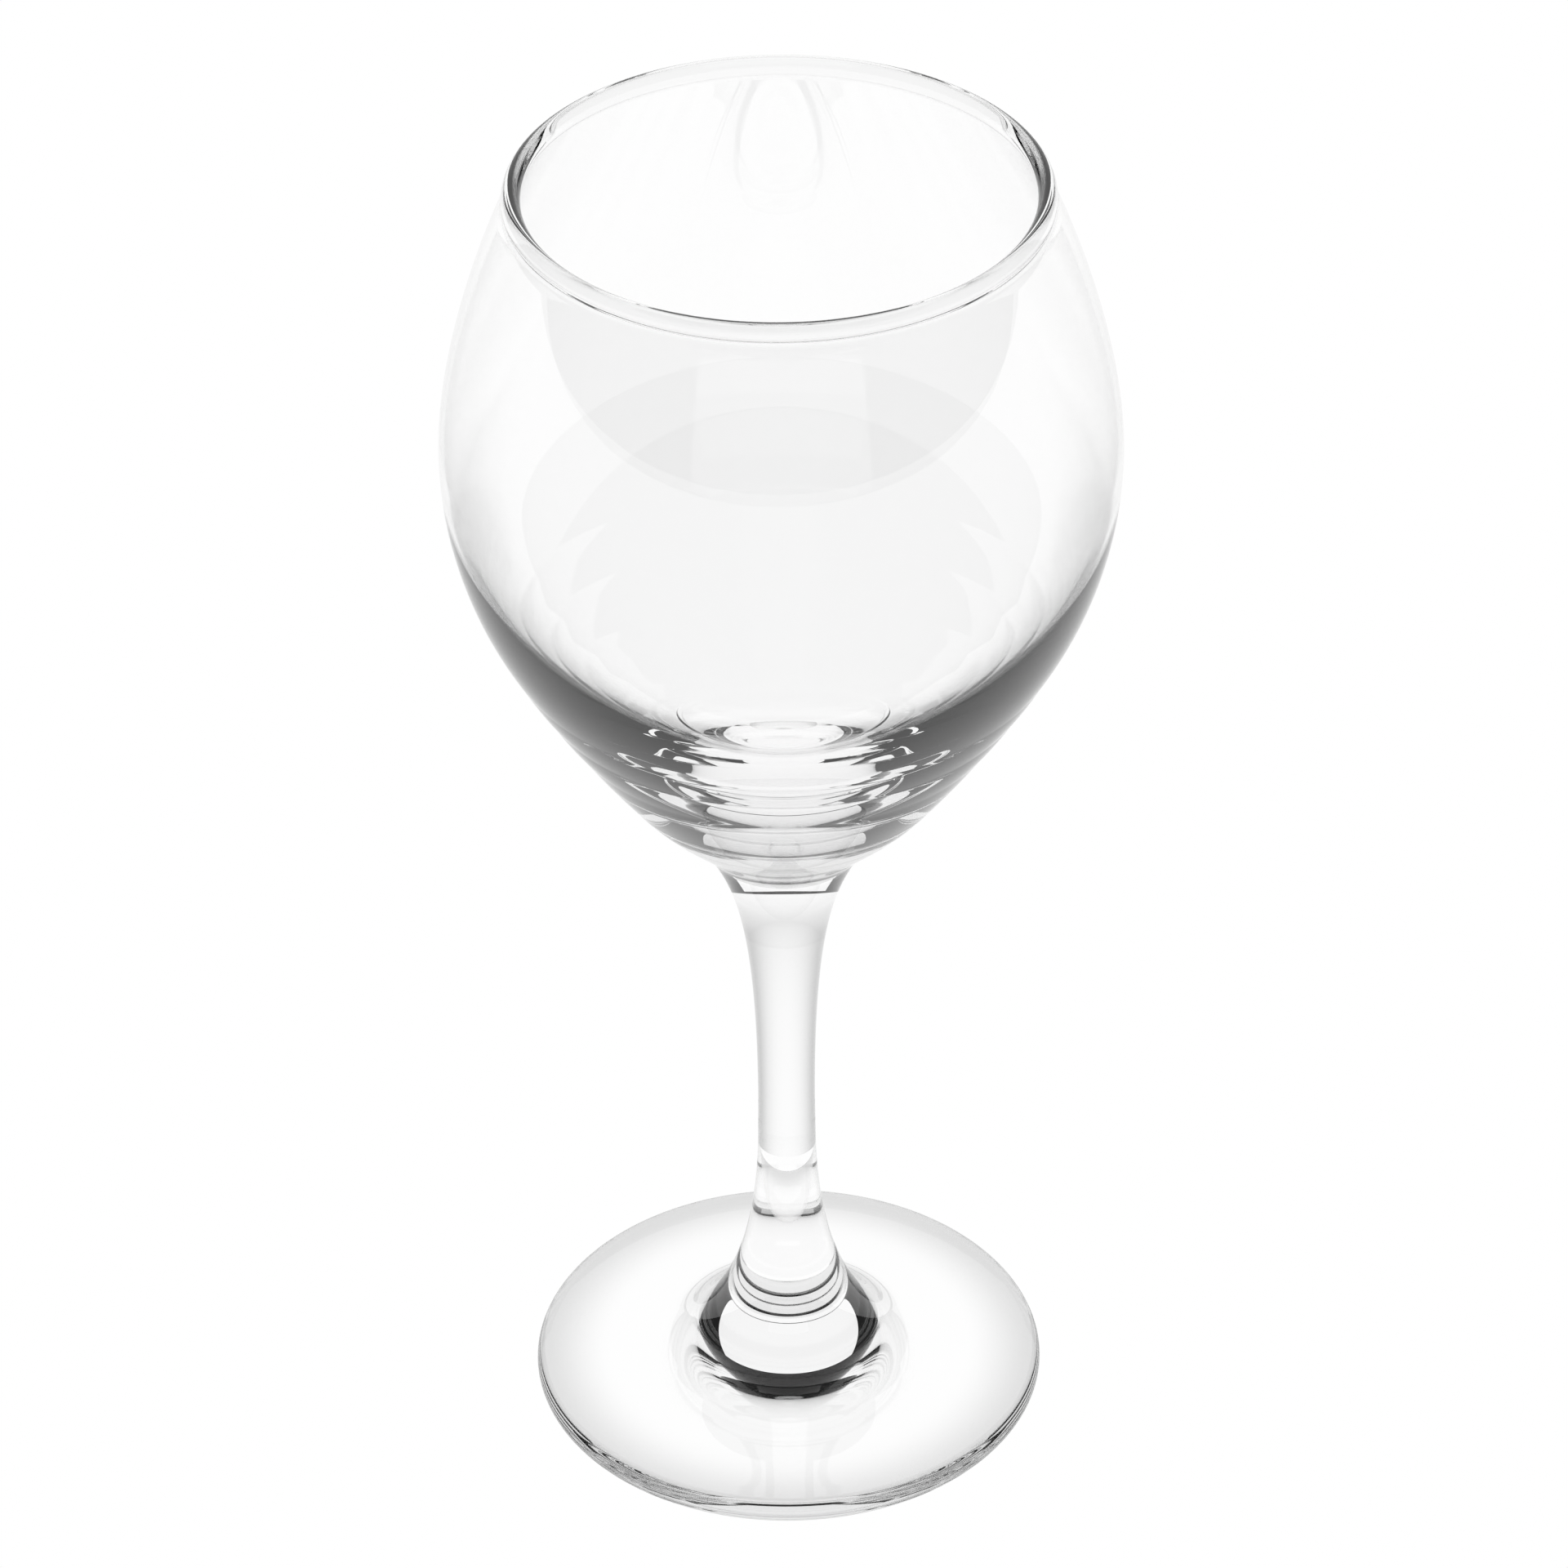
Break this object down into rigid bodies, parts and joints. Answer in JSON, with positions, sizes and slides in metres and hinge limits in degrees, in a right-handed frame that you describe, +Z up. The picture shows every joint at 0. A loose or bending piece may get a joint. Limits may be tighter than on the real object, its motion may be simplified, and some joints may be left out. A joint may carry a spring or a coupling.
{
  "type": "wine glass",
  "caption": "Stemmed red-wine glass: blown balloon bowl with a bead rim and ringed base, solid drawn stem and round pressed foot, in clear glass.",
  "frame": {"origin": "centre of the foot's resting plane, on the axis of the glass", "axes": "+Z up along the axis of the glass, from the foot to the rim; +X and +Y are equal by symmetry"},
  "size_m": [0.0924, 0.0924, 0.2],
  "materials": {
    "bowl_glass": "blown and fire-polished clear soda-lime glass",
    "stem_glass": "drawn and fire-polished clear soda-lime glass",
    "foot_glass": "pressed and fire-polished clear soda-lime glass"
  },
  "bodies": {
    "root": {"bowl": "bowl_glass", "stem": "stem_glass", "foot": "foot_glass"}
  },
  "joints": []
}
